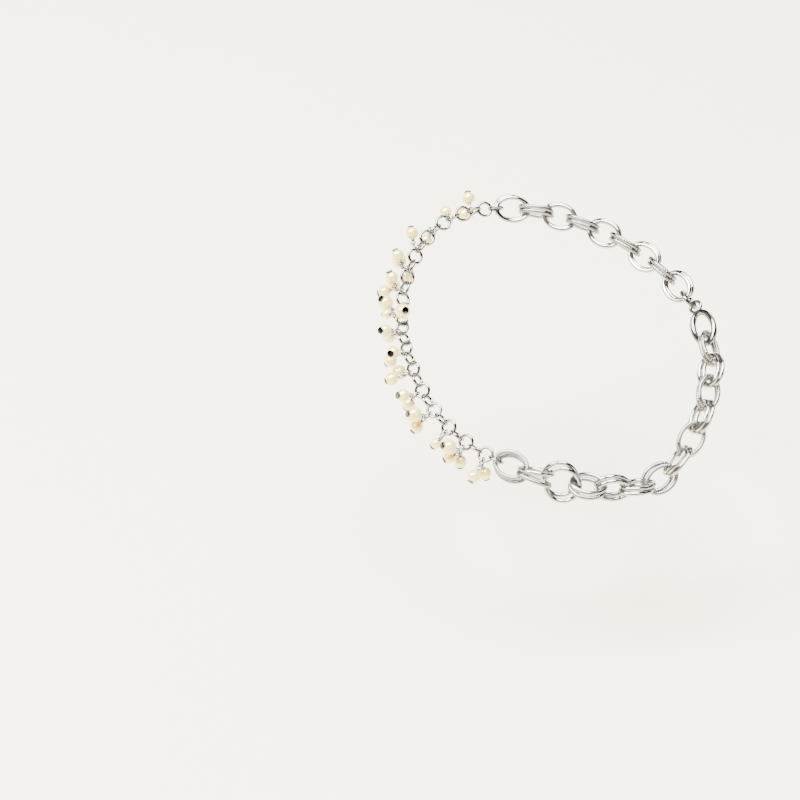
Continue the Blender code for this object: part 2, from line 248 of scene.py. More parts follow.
class Route:
    """The closed middle line of the chain, as long as the pieces laid along it."""

    STEPS = 1440

    def __init__(self, length):
        samples = [self.point(360 * k / self.STEPS + ROUTE_START) for k in range(self.STEPS + 1)]
        self.travel = [0.0]
        for before, after in zip(samples, samples[1:]):
            self.travel.append(self.travel[-1] + (after - before).length)
        self.scale = length / self.travel[-1]
        self.length = length

    @staticmethod
    def height(angle):
        """Height at an angle, on a smooth closed curve through the chosen points."""
        angle %= 360
        count = len(ROUTE)
        after = next((k for k in range(count) if ROUTE[k][0] > angle), count)
        around = [(after + k) % count for k in (-2, -1, 0, 1)]
        turns = [(after + k) // count * 360 for k in (-2, -1, 0, 1)]
        a0, a1, a2, a3 = (ROUTE[k][0] + turn for k, turn in zip(around, turns))
        h0, h1, h2, h3 = (ROUTE[k][1] * MM for k in around)
        slope1 = (h2 - h0) / (a2 - a0) * (a2 - a1)
        slope2 = (h3 - h1) / (a3 - a1) * (a2 - a1)
        f = (angle - a1) / (a2 - a1)
        start = (1 + 2 * f) * (1 - f) ** 2 * h1 + f * (1 - f) ** 2 * slope1
        return start + f * f * (3 - 2 * f) * h2 - f * f * (1 - f) * slope2

    def point(self, angle):
        turn = math.radians(angle)
        x = OVAL_HALF_DEPTH * math.cos(turn)
        y = OVAL_HALF_WIDTH * math.sin(turn)
        return Vector((x, y, self.height(angle)))

    def angle_at(self, place):
        """Angle round the ankle at a distance along the loop."""
        wanted = place % self.length / self.scale
        low, high = 0, self.STEPS
        while high - low > 1:
            middle = (low + high) // 2
            if self.travel[middle] <= wanted:
                low = middle
            else:
                high = middle
        share = (wanted - self.travel[low]) / (self.travel[high] - self.travel[low])
        return 360 * (low + share) / self.STEPS + ROUTE_START

    def frame(self, place):
        """Middle, direction along the chain, direction away from the ankle, and the third, up."""
        angle = self.angle_at(place)
        along = (self.point(angle + 0.5) - self.point(angle - 0.5)).normalized()
        turn = math.radians(angle)
        away = Vector((OVAL_HALF_WIDTH * math.cos(turn), OVAL_HALF_DEPTH * math.sin(turn), 0))
        away = (away - along * away.dot(along)).normalized()
        return self.point(angle) * self.scale, along, away, away.cross(along)


def turned(away, up, degrees):
    """Direction that far round from straight out towards up."""
    turn = math.radians(degrees)
    return away * math.cos(turn) + up * math.sin(turn)


class Link:
    """One piece of the loop: its node, its room and thickness, and its place along the loop."""

    def __init__(self, node, length, width, wire_across, half_thickness):
        self.node = node
        self.length = length
        self.width = width
        self.inner_length = length / 2 - wire_across
        self.inner_width = width / 2 - wire_across
        self.half_thickness = half_thickness
        self.place = 0.0

    def grip(self, neighbour):
        """How far from the middle the neighbour's end can sit inside this piece."""
        share = neighbour.half_thickness / self.inner_width
        return self.inner_length * math.sqrt(1 - share * share)


def clasp_eye_middle():
    """Distance from the middle of the clasp to the middle of its eye."""
    return CLASP_LENGTH / 2 - CLASP_WIRE / 2 + CLASP_EYE_DIAMETER / 2


def pitch(first, second):
    """Distance between the middles of two neighbours."""
    if first.node == second.node == "small_ring_chain":
        return SMALL_RING_DIAMETER - 2 * SMALL_RING_WIRE + SOLDER_DEPTH
    if first.node == "clasp":
        eye_room = CLASP_EYE_DIAMETER / 2 - CLASP_EYE_WIRE
        return clasp_eye_middle() + eye_room + second.grip(first) - LINK_SLACK
    return first.grip(second) + second.grip(first) - LINK_SLACK


def lay_out():
    """The pieces of the loop in order with their places, and the route that they lie on."""
    across = 2 * side_reach(LINK_WIRE)
    thick = LINK_WIRE / 2 + flat_reach(LINK_WIRE)
    small, wire = SMALL_RING_WIRE, CLASP_RING_WIRE
    links = [
        Link("small_ring_chain", SMALL_RING_DIAMETER, SMALL_RING_DIAMETER, small, small / 2)
        for _ in range(SMALL_RINGS)
    ]
    for k in range(1, LINKS_BEFORE_CLASP + LINKS_AFTER_CLASP + 1):
        if k == ROUND_RING_PLACE:
            size = ROUND_RING_DIAMETER
            links.append(Link("polished_round_ring", size, size, across, thick))
        else:
            links.append(Link(f"double_link_{k:02d}", LINK_LENGTH, LINK_WIDTH, across, thick))
        if k == LINKS_BEFORE_CLASP:
            links.append(Link("clasp", CLASP_LENGTH, CLASP_WIDTH, CLASP_WIRE, CLASP_WIRE / 2))
            size = CLASP_RING_DIAMETER
            links.append(Link("clasp_ring", size, size, wire, wire / 2))
    place = 0.0
    for before, link in zip(links, links[1:]):
        place += pitch(before, link)
        link.place = place
    return links, Route(place + pitch(links[-1], links[0]))


def small_ring_turn(number):
    """Turn of a small ring's plane: neighbours stand at right angles."""
    return CARRIER_TURN + 90 if number % 2 else CARRIER_TURN


def charm_places(number, rows, link, route):
    """Where a jump ring and its pins lie: the ring's middle, its two axes and the pins."""
    middle, along, away, up = route.frame(link.place)
    corner = math.cos(math.pi / SMALL_SIDES)
    radius = (SMALL_RING_DIAMETER - SMALL_RING_WIRE) / 2
    wire_middle = middle + turned(away, up, small_ring_turn(number)) * radius * corner
    jump_radius = (JUMP_RING_DIAMETER - JUMP_RING_WIRE) / 2
    room = jump_radius * corner - (JUMP_RING_WIRE + SMALL_RING_WIRE) / 2 - JUMP_RING_AIR
    hang = turned(away, up, sum(row[1] for row in rows) / len(rows))
    jump_middle = wire_middle + hang * room
    pins = []
    for _, swing, lean, size in rows:
        outwards = turned(away, up, swing)
        tilt = math.radians(lean)
        start = jump_middle + outwards * jump_radius
        pins.append((start, outwards * math.cos(tilt) + along * math.sin(tilt), size))
    return jump_middle, along, hang, pins


class Value:
    """One output socket; arithmetic on it adds Math nodes to its tree."""

    def __init__(self, maker, socket):
        self.maker = maker
        self.socket = socket

    def __add__(self, other):
        return self.maker.math("ADD", self, other)

    __radd__ = __add__

    def __sub__(self, other):
        return self.maker.math("SUBTRACT", self, other)

    def __rsub__(self, other):
        return self.maker.math("SUBTRACT", other, self)

    def __mul__(self, other):
        return self.maker.math("MULTIPLY", self, other)

    __rmul__ = __mul__

    def __truediv__(self, other):
        return self.maker.math("DIVIDE", self, other)

    def __mod__(self, other):
        return self.maker.math("MODULO", self, other)

    def __gt__(self, other):
        return self.maker.math("GREATER_THAN", self, other)


class Made:
    """A node that has been made: its outputs, by name or number, as values."""

    def __init__(self, maker, node):
        self.maker = maker
        self.node = node

    def __getitem__(self, key):
        return Value(self.maker, self.node.outputs[key])


class Maker:
    """Makes the nodes of one tree."""

    def __init__(self, tree):
        self.tree = tree

    def add(self, kind, settings=None, values=None):
        """Makes a node, sets it up, and then fills its sockets with numbers or links."""
        node = self.tree.nodes.new(kind)
        for name, setting in (settings or {}).items():
            setattr(node, name, setting)
        for key, value in (values or {}).items():
            if isinstance(value, Value):
                self.tree.links.new(value.socket, node.inputs[key])
            else:
                node.inputs[key].default_value = value
        return Made(self, node)

    def math(self, operation, first, second):
        return self.add("ShaderNodeMath", {"operation": operation}, {0: first, 1: second})[0]

    def mix(self, factor, first, second):
        """Blend of two colours."""
        settings = {"data_type": "RGBA"}
        return self.add("ShaderNodeMix", settings, {0: factor, 6: first, 7: second})[2]

    def noise(self, vector, scale, detail=2.0, roughness=0.5):
        """Noise between about 0.3 and 0.7."""
        values = {"Vector": vector, "Scale": scale, "Detail": detail, "Roughness": roughness}
        return self.add("ShaderNodeTexNoise", None, values)["Fac"]

    def vector(self, **lengths):
        """A vector with the given X, Y and Z, and nought for what isn't given."""
        return self.add("ShaderNodeCombineXYZ", None, lengths)["Vector"]

    def moved(self, geometry, **values):
        """The geometry with a Translation, Rotation or Scale."""
        values["Geometry"] = geometry
        return self.add("GeometryNodeTransform", None, values)["Geometry"]

    def bump(self, strength, distance, height):
        """A surface normal with the height's relief."""
        values = {"Strength": strength, "Distance": distance, "Height": height}
        return self.add("ShaderNodeBump", None, values)["Normal"]


def surface(name):
    """A new material with its shader: the maker, the shader node and the Object coordinates."""
    material = bpy.data.materials.new(name)
    material.use_nodes = True
    maker = Maker(material.node_tree)
    shader = material.node_tree.nodes["Principled BSDF"]
    place = maker.add("ShaderNodeTexCoord")["Object"]
    return material, maker, shader, place


def feed(maker, shader, name, value):
    """Puts a number or a link into one of the shader's sockets."""
    if isinstance(value, Value):
        maker.tree.links.new(value.socket, shader.inputs[name])
    else:
        shader.inputs[name].default_value = value


def opaque(colour, share=1.0):
    """A share of a colour, with its alpha."""
    return tuple(share * c for c in colour) + (1,)


def polished_silver(name, colour, painted_darkening_share=1.0, groove_shade=0.0):
    """Bright plated metal, faint clouding, hair scratches; painted shade darkens it by a share and
    in its grooves.
    """
    material, maker, shader, place = surface(name)
    roughness, scratch = FINISHES[name]
    # The share darkens the whole colour: painted shade on the small rings, a painted dark
    # reflection on the pin heads
    clear = [painted_darkening_share * c for c in colour]
    cloud = maker.noise(place, CLOUD_SCALE, 3)
    grain = maker.noise(place, GRAIN_SCALE, 4, 0.6)
    stretch = maker.add("ShaderNodeMapping", None, {"Vector": place, "Scale": HAIR_STRETCH})
    hair = maker.noise(stretch["Vector"], 1.0, 2, 0.7)
    tone = maker.mix(cloud, opaque(clear, 0.80), opaque(clear))
    # Painted shade: near-black colour mixed in down in the grooves of the ribs
    if groove_shade:
        groove = maker.add("ShaderNodeAttribute", {"attribute_name": "groove"})["Fac"]
        tone = maker.mix(groove * groove_shade, tone, opaque(GROOVE_SHADE_COLOUR))
    feed(maker, shader, "Base Color", tone)
    feed(maker, shader, "Metallic", 1.0)
    feed(maker, shader, "Roughness", roughness + 0.08 * (cloud - 0.5) + 0.04 * (grain - 0.5))
    feed(maker, shader, "Normal", maker.bump(scratch, 0.02 * MM, hair + 0.5 * grain))
    return material


def pearl_nacre(name, cream, blush):
    """Pearl: soft layers of cream and blush under a clear gloss, a little light let in."""
    material, maker, shader, place = surface(name)
    body = maker.noise(place, BODY_SCALE, 2)
    layer = maker.noise(place, LAYER_SCALE, 5, 0.6)
    warp = maker.noise(place, WARP_SCALE, 3)
    # The noise keeps near its middle, so it is spread out to blend from all cream to all blush
    tone = maker.mix(body * 1.7 - 0.35, opaque(cream), opaque(blush))
    tone = maker.mix(0.9 * (layer * warp), tone, opaque(cream, 0.86))
    feed(maker, shader, "Base Color", tone)
    feed(maker, shader, "Metallic", 0.25)
    feed(maker, shader, "Roughness", 0.17 + 0.12 * (layer - 0.5))
    feed(maker, shader, "Coat Weight", 1.0)
    feed(maker, shader, "Coat Roughness", 0.06)
    feed(maker, shader, "Subsurface Weight", 0.15)
    feed(maker, shader, "Subsurface Radius", (1.0, 0.85, 0.6))
    feed(maker, shader, "Subsurface Scale", 0.6 * MM)
    feed(maker, shader, "Normal", maker.bump(0.12, 0.04 * MM, layer))
    return material


def pale_paper(name, colour):
    """The stage's floor: smooth pale paper with a barely seen tone."""
    material, maker, shader, place = surface(name)
    tone = maker.noise(place, PAPER_SCALE, 2)
    feed(maker, shader, "Base Color", maker.mix(tone, opaque(colour, 0.985), opaque(colour)))
    feed(maker, shader, "Roughness", 0.55)
    feed(maker, shader, "Specular IOR Level", 0.25)
    return material


def geometry_maker(name, inputs):
    """A Geometry Nodes tree that takes points and the named inputs: its maker and its inputs."""
    group = bpy.data.node_groups.new(name, "GeometryNodeTree")
    group.interface.new_socket("Points", in_out="INPUT", socket_type="NodeSocketGeometry")
    for label, kind in inputs.items():
        group.interface.new_socket(label, in_out="INPUT", socket_type="NodeSocket" + kind)
    group.interface.new_socket("Material", in_out="INPUT", socket_type="NodeSocketMaterial")
    group.interface.new_socket("Geometry", in_out="OUTPUT", socket_type="NodeSocketGeometry")
    maker = Maker(group)
    return maker, maker.add("NodeGroupInput")


def set_on_points(maker, given, shape, scale=None):
    """Puts the shape on every point, turned by its axis and side, and makes the copies real."""
    vectors = {}
    for label, socket in (("axis", "Primary Axis"), ("side", "Secondary Axis")):
        kind = {"data_type": "FLOAT_VECTOR"}
        named = maker.add("GeometryNodeInputNamedAttribute", kind, {"Name": label})
        vectors[socket] = named["Attribute"]
    axes = {"primary_axis": "Z", "secondary_axis": "X"}
    turn = maker.add("FunctionNodeAxesToRotation", axes, vectors)["Rotation"]
    values = {"Points": given["Points"], "Instance": shape, "Rotation": turn}
    if scale is not None:
        values["Scale"] = scale
    placed = maker.add("GeometryNodeInstanceOnPoints", None, values)["Instances"]
    return maker.add("GeometryNodeRealizeInstances", None, {"Geometry": placed})["Geometry"]


def end_tree(maker, given, geometry):
    """Shades the result smooth, gives it its material and ends the tree."""
    smooth = maker.add("GeometryNodeSetShadeSmooth", None, {"Geometry": geometry})["Geometry"]
    values = {"Geometry": smooth, "Material": given["Material"]}
    done = maker.add("GeometryNodeSetMaterial", None, values)["Geometry"]
    maker.add("NodeGroupOutput", None, {"Geometry": done})
    return maker.tree


def wire_section(maker, given):
    """The round section of the wire that a tree's inputs give."""
    values = {"Resolution": given["Wire Sides"], "Radius": given["Wire"] / 2}
    return maker.add("GeometryNodeCurvePrimitiveCircle", {"mode": "RADIUS"}, values)["Curve"]


def sweep(maker, curve, section, scale=1.0):
    """Wire along a curve, closed at its ends."""
    values = {"Curve": curve, "Profile Curve": section, "Scale": scale, "Fill Caps": True}
    return maker.add("GeometryNodeCurveToMesh", None, values)["Mesh"]


def arc(maker, steps, radius, start, sweep_angle):
    """Part of a circle, with its angles in radians."""
    values = {
        "Resolution": steps, "Radius": radius, "Start Angle": start, "Sweep Angle": sweep_angle,
    }
    return maker.add("GeometryNodeCurveArc", {"mode": "RADIUS"}, values)["Curve"]


def join(maker, *parts):
    """Several geometries as one."""
    joined = maker.add("GeometryNodeJoinGeometry")
    for part in parts:
        maker.tree.links.new(part.socket, joined.node.inputs[0])
    return joined["Geometry"]


def open_ring_tree():
    """Rings bent from one length of round wire, with the fine cut where its two ends meet."""
    maker, given = geometry_maker(
        "Cut wire rings",
        {"Diameter": "Float", "Wire": "Float", "Cut": "Float", "Steps": "Int", "Wire Sides": "Int"},
    )
    radius = (given["Diameter"] - given["Wire"]) / 2
    cut = given["Cut"] / radius
    start = cut / 2 + math.radians(CUT_ANGLE)
    bend = arc(maker, given["Steps"], radius, start, math.tau - cut)
    ring = sweep(maker, bend, wire_section(maker, given))
    return end_tree(maker, given, set_on_points(maker, given, ring))


def double_oval_tree():
    """Two oval wires side by side, each plain or ribbed, the pair spread from one end."""
    maker, given = geometry_maker(
        "Double oval links",
        {
            "Length": "Float", "Width": "Float", "Wire": "Float", "Spacing": "Float",
            "Shift Along": "Float", "Shift Across": "Float", "Splay": "Float", "Ribs": "Int",
            "Rib Depth Above": "Float", "Rib Depth Below": "Float", "Wire Sides": "Int",
        },
    )
    half_length = (given["Length"] - given["Wire"]) / 2
    half_width = (given["Width"] - given["Wire"]) / 2
    values = {"Resolution": OVAL_STEPS, "Radius": 1.0}
    circle = maker.add("GeometryNodeCurvePrimitiveCircle", {"mode": "RADIUS"}, values)["Curve"]
    oval = maker.moved(circle, Scale=maker.vector(X=half_length, Y=half_width, Z=1.0))
    values = {"Curve": oval, "Count": given["Ribs"] * RIB_POINTS}
    path = maker.add("GeometryNodeResampleCurve", {"mode": "COUNT"}, values)["Curve"]
    index = maker.add("GeometryNodeInputIndex")["Index"]
    groove = index % RIB_POINTS > RIB_POINTS - 1.5
    section = wire_section(maker, given)
    wires = []
    for side, label in ((1, "Rib Depth Above"), (-1, "Rib Depth Below")):
        narrow = 1 - groove * given[label] / (given["Wire"] / 2)
        mark = {"Geometry": path, "Name": "groove", "Value": groove * (given[label] > 0.0)}
        kind = {"data_type": "FLOAT"}
        marked = maker.add("GeometryNodeStoreNamedAttribute", kind, mark)["Geometry"]
        aside = maker.vector(
            X=half_length + side * given["Shift Along"] / 2,
            Y=side * given["Shift Across"] / 2,
            Z=side * given["Spacing"],
        )
        placed = maker.moved(sweep(maker, marked, section, narrow), Translation=aside)
        spread = maker.moved(placed, Rotation=maker.vector(Y=-side * given["Splay"] / 2))
        wires.append(maker.moved(spread, Translation=maker.vector(X=-1 * half_length)))
    return end_tree(maker, given, set_on_points(maker, given, join(maker, *wires)))


def pin_tree():
    """Head pins bent to an eye round the jump ring, with the tail wound back round the neck."""
    maker, given = geometry_maker(
        "Wrapped pin eyes",
        {
            "Wire": "Float", "Eye": "Float", "Eye Lift": "Float", "Neck": "Float",
            "Turns": "Float", "Wire Sides": "Int",
        },
    )
    wire, radius = given["Wire"], given["Eye"] / 2
    bend = arc(maker, EYE_STEPS, radius, math.radians(EYE_START), math.radians(EYE_SWEEP))
    upright = (math.radians(-90), 0, 0)
    eye = maker.moved(bend, Rotation=upright, Translation=maker.vector(Z=given["Eye Lift"]))
    foot = given["Eye Lift"] + radius
    ends = {
        "Start": maker.vector(Z=foot - wire / 2),
        "End": maker.vector(Z=given["Neck"] + wire),
    }
    stem = maker.add("GeometryNodeCurvePrimitiveLine", {"mode": "POINTS"}, ends)["Curve"]
    values = {
        "Resolution": COIL_STEPS, "Rotations": given["Turns"],
        "Start Radius": wire * COIL_RADIUS, "End Radius": wire * COIL_RADIUS,
        "Height": given["Turns"] * wire * COIL_PITCH,
    }
    coil = maker.add("GeometryNodeCurveSpiral", None, values)["Curve"]
    path = join(maker, eye, stem, maker.moved(coil, Translation=maker.vector(Z=foot)))
    pin = sweep(maker, path, wire_section(maker, given))
    return end_tree(maker, given, set_on_points(maker, given, pin))


def pearl_tree():
    """Pearls on the points, each its own size, with the faint unevenness of a grown one."""
    maker, given = geometry_maker(
        "Grown pearls", {"Segments": "Int", "Unevenness": "Float", "Seed": "Float"}
    )
    values = {"Segments": given["Segments"], "Rings": given["Segments"] / 2, "Radius": 0.5}
    ball = maker.add("GeometryNodeMeshUVSphere", None, values)["Mesh"]
    size = maker.add("GeometryNodeInputNamedAttribute", None, {"Name": "size"})["Attribute"]
    balls = set_on_points(maker, given, ball, size)
    values = {"W": given["Seed"], "Scale": SWELL_SCALE, "Detail": 1.0}
    swell = maker.add("ShaderNodeTexNoise", {"noise_dimensions": "4D"}, values)["Fac"]
    normal = maker.add("GeometryNodeInputNormal")["Normal"]
    reach = given["Unevenness"] * (swell - 0.5)
    push = maker.add("ShaderNodeVectorMath", {"operation": "SCALE"}, {0: normal, "Scale": reach})[0]
    pushed = {"Geometry": balls, "Offset": push}
    uneven = maker.add("GeometryNodeSetPosition", None, pushed)["Geometry"]
    return end_tree(maker, given, uneven)


def copies_tree():
    """Copies of one finished shape on the points."""
    maker, given = geometry_maker("Shape copies", {"Shape": "Object"})
    shape = maker.add("GeometryNodeObjectInfo", None, {"Object": given["Shape"]})["Geometry"]
    return end_tree(maker, given, set_on_points(maker, given, shape))


def points_mesh(name, rows):
    """A mesh of loose points: place, axis and side of each, and a size."""
    mesh = bpy.data.meshes.new(name)
    mesh.from_pydata([row[0] for row in rows], [], [])
    for column, label in ((1, "axis"), (2, "side")):
        field = mesh.attributes.new(label, "FLOAT_VECTOR", "POINT")
        for item, row in zip(field.data, rows):
            item.vector = row[column]
    field = mesh.attributes.new("size", "FLOAT", "POINT")
    for item, row in zip(field.data, rows):
        item.value = row[3] if len(row) > 3 else 1.0
    return mesh


def grow(tree, rows, values):
    """Runs a tree on the given points and gives the plain mesh that it makes."""
    thing = bpy.data.objects.new("growing", points_mesh("growing", rows))
    bpy.context.scene.collection.objects.link(thing)
    modifier = thing.modifiers.new("tree", "NODES")
    modifier.node_group = tree
    for item in tree.interface.items_tree:
        if item.in_out == "INPUT" and item.name in values:
            modifier[item.identifier] = values[item.name]
    bpy.context.view_layer.update()
    graph = bpy.context.evaluated_depsgraph_get()
    mesh = bpy.data.meshes.new_from_object(thing.evaluated_get(graph))
    points = thing.data
    bpy.data.objects.remove(thing)
    bpy.data.meshes.remove(points)
    return mesh


def merged(meshes):
    """Several plain meshes as one, each with its own material, and the faces pointing outwards."""
    bm = bmesh.new()
    slots = []
    for mesh in meshes:
        done = len(bm.faces)
        bm.from_mesh(mesh)
        bm.faces.ensure_lookup_table()
        for face in bm.faces[done:]:
            material = mesh.materials[face.material_index]
            if material not in slots:
                slots.append(material)
            face.material_index = slots.index(material)
    bmesh.ops.recalc_face_normals(bm, faces=bm.faces)
    whole = meshes[0]
    whole.materials.clear()
    for material in slots:
        whole.materials.append(material)
    bm.to_mesh(whole)
    bm.free()
    for mesh in meshes[1:]:
        bpy.data.meshes.remove(mesh)
    return whole


def add_piece(name, mesh, node):
    """Makes a piece of the anklet from its mesh, to stand for the given node."""
    mesh.name = name
    for label in ("axis", "side", "size"):
        if label in mesh.attributes:
            mesh.attributes.remove(mesh.attributes[label])
    piece = bpy.data.objects.new(name, mesh)
    bpy.context.scene.collection.objects.link(piece)
    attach(piece, "root")
    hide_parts(node)


def turned_body(name, outline, sides, material):
    """A closed body turned about Z from its (radius, height) outline, which starts on the axis."""
    bm = bmesh.new()
    low = bm.verts.new((0, 0, outline[0][1]))
    high = bm.verts.new((0, 0, outline[-1][1]))
    rows = []
    for radius, height in outline[1:-1]:
        angles = [math.tau * k / sides for k in range(sides)]
        ring = [(radius * math.cos(a), radius * math.sin(a), height) for a in angles]
        rows.append([bm.verts.new(corner) for corner in ring])
    for k in range(sides):
        after = (k + 1) % sides
        bm.faces.new((low, rows[0][after], rows[0][k]))
        bm.faces.new((high, rows[-1][k], rows[-1][after]))
        for near, far in zip(rows, rows[1:]):
            bm.faces.new((near[k], near[after], far[after], far[k]))
    bmesh.ops.recalc_face_normals(bm, faces=bm.faces)
    mesh = bpy.data.meshes.new(name)
    bm.to_mesh(mesh)
    bm.free()
    mesh.materials.append(material)
    return mesh


class AnkletSizes(bpy.types.PropertyGroup):
    """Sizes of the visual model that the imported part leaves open."""

    small_wire: FloatProperty(
        name="Small ring wire", description="Wire of the small rings",
        default=0.78 * MM, min=0.3 * MM, max=1.0 * MM, subtype="DISTANCE", unit="LENGTH",
    )
    ring_sway: FloatProperty(
        name="Ring sway", description="How far a small ring leans from its even turn, in degrees",
        default=9, min=0, max=20,
    )
    ring_cut: FloatProperty(
        name="Ring cut", description="Gap where the ends of a bent ring meet",
        default=0.05 * MM, min=0, max=0.3 * MM, subtype="DISTANCE", unit="LENGTH",
    )
    pin_wire: FloatProperty(
        name="Pin wire", description="Wire of the head pins",
        default=0.4 * MM, min=0.2 * MM, max=0.5 * MM, subtype="DISTANCE", unit="LENGTH",
    )
    pin_turns: FloatProperty(
        name="Pin turns", description="Turns of the pin's tail round its neck",
        default=1.6, min=0, max=4,
    )
    # Painted shade: the small rings' colour is darkened to stand in for the shade round the chain
    ring_painted_shade_tone: FloatProperty(
        name="Small ring shade", description="Brightness of the small rings against the other metal",
        default=0.62, min=0.05, max=1,
    )
    # Painted dark reflection: the pins' heads' colour is darkened to stand in for the dark
    # reflections in their polished faces
    head_painted_reflection_tone: FloatProperty(
        name="Pin head dark reflection", description="Brightness of the pins' heads against the other metal",
        default=0.2, min=0.05, max=1,
    )
    link_wire: FloatProperty(
        name="Link wire", description="Wire of the heavy double links",
        default=1.16 * MM, min=0.8 * MM, max=1.4 * MM, subtype="DISTANCE", unit="LENGTH",
    )
    rib_pitch: FloatProperty(
        name="Rib pitch", description="Distance between the ribs of a ribbed wire",
        default=0.56 * MM, min=0.15 * MM, max=1.0 * MM, subtype="DISTANCE", unit="LENGTH",
    )
    rib_depth: FloatProperty(
        name="Rib depth", description="Depth of the grooves between the ribs",
        default=0.12 * MM, min=0, max=0.2 * MM, subtype="DISTANCE", unit="LENGTH",
    )
    # Painted shade: darkens the metal's colour down in the grooves of the ribs
    groove_shade: FloatProperty(
        name="Groove shade", description="Darkness of the metal down in the grooves",
        default=0.85, min=0, max=1,
    )
    unevenness: FloatProperty(
        name="Pearl unevenness", description="How far a pearl's surface wanders from round",
        default=0.08 * MM, min=0, max=0.5 * MM, subtype="DISTANCE", unit="LENGTH",
    )
    pearl_segments: IntProperty(
        name="Pearl segments", description="Facets round a pearl", default=40, min=12, max=96,
    )


class AnkletColours(bpy.types.PropertyGroup):
    """Colours of the anklet and its stage."""

    silver: FloatVectorProperty(
        name="Silver", description="Plated metal", subtype="COLOR", size=3,
        default=(0.46, 0.453, 0.442), min=0, max=1,
    )
    cream: FloatVectorProperty(
        name="Cream", description="Body colour of the pearls", subtype="COLOR", size=3,
        default=(0.97, 0.79, 0.25), min=0, max=1,
    )
    blush: FloatVectorProperty(
        name="Blush", description="Lighter, pinker colour of the pearls", subtype="COLOR", size=3,
        default=(0.98, 0.85, 0.36), min=0, max=1,
    )
    paper: FloatVectorProperty(
        name="Paper", description="Floor of the stage", subtype="COLOR", size=3,
        default=(0.96, 0.87, 0.67), min=0, max=1,
    )
    sky: FloatVectorProperty(
        name="Sky", description="Light from all round", subtype="COLOR", size=3,
        default=(0.95, 0.95, 0.96), min=0, max=1,
    )


class AnkletStage(bpy.types.PropertyGroup):
    """The stage's distances and lights."""

    floor_drop: FloatProperty(
        name="Floor drop", description="Floor's distance under the lowest point of the anklet",
        default=45 * MM, min=0, max=0.3, subtype="DISTANCE", unit="LENGTH",
    )
    room_bright: FloatProperty(
        name="Bright panels", description="Strength of the room's bright panels",
        default=0.7, min=0, max=50,
    )
    room_dark: FloatProperty(
        name="Dark gaps", description="Strength of the room between its bright panels",
        default=0.008, min=0, max=5,
    )
    backdrop: FloatProperty(
        name="Backdrop", description="Brightness of the plain backdrop behind the floor",
        default=4.2, min=0, max=20,
    )
    sky_power: FloatProperty(
        name="Overhead light", description="Strength of the even light on the whole floor",
        default=13.0, min=0, max=100,
    )
    key_power: FloatProperty(
        name="Key power", description="Power of the main soft light, in watts",
        default=34.0, min=0, max=200, unit="POWER",
    )
    side_power: FloatProperty(
        name="Side power", description="Power of the soft light at the heel, in watts",
        default=1.5, min=0, max=200, unit="POWER",
    )
    back_power: FloatProperty(
        name="Back power", description="Power of the soft light behind, in watts",
        default=2.0, min=0, max=200, unit="POWER",
    )


class ANKLET_OT_small_rings(bpy.types.Operator):
    """Bends the fine rings of the pearl section and stands each across the next"""

    bl_idname = "anklet.small_rings"
    bl_label = "Small rings"

    def execute(self, context):
        sizes, colours = context.scene.anklet_sizes, context.scene.anklet_colours
        links, route = lay_out()
        rows = []
        for number, link in enumerate(links[:SMALL_RINGS]):
            middle, along, away, up = route.frame(link.place)
            wander = math.sin(SWAY_STEP * number)
            sway = sizes.ring_sway * (ODD_WANDER * wander + ODD_LEAN if number % 2 else wander)
            rows.append((middle, turned(away, up, small_ring_turn(number) + 90 + sway), along))
        values = {
            "Diameter": SMALL_RING_DIAMETER, "Wire": sizes.small_wire, "Cut": sizes.ring_cut,
            "Steps": SMALL_RING_STEPS, "Wire Sides": RING_SIDES,
            # The small rings' silver is darkened by painted shade
            "Material": polished_silver("small_ring_silver", colours.silver, sizes.ring_painted_shade_tone),
        }
        mesh = merged([grow(open_ring_tree(), rows, values)])
        add_piece("small_rings", mesh, "small_ring_chain")
        return {"FINISHED"}


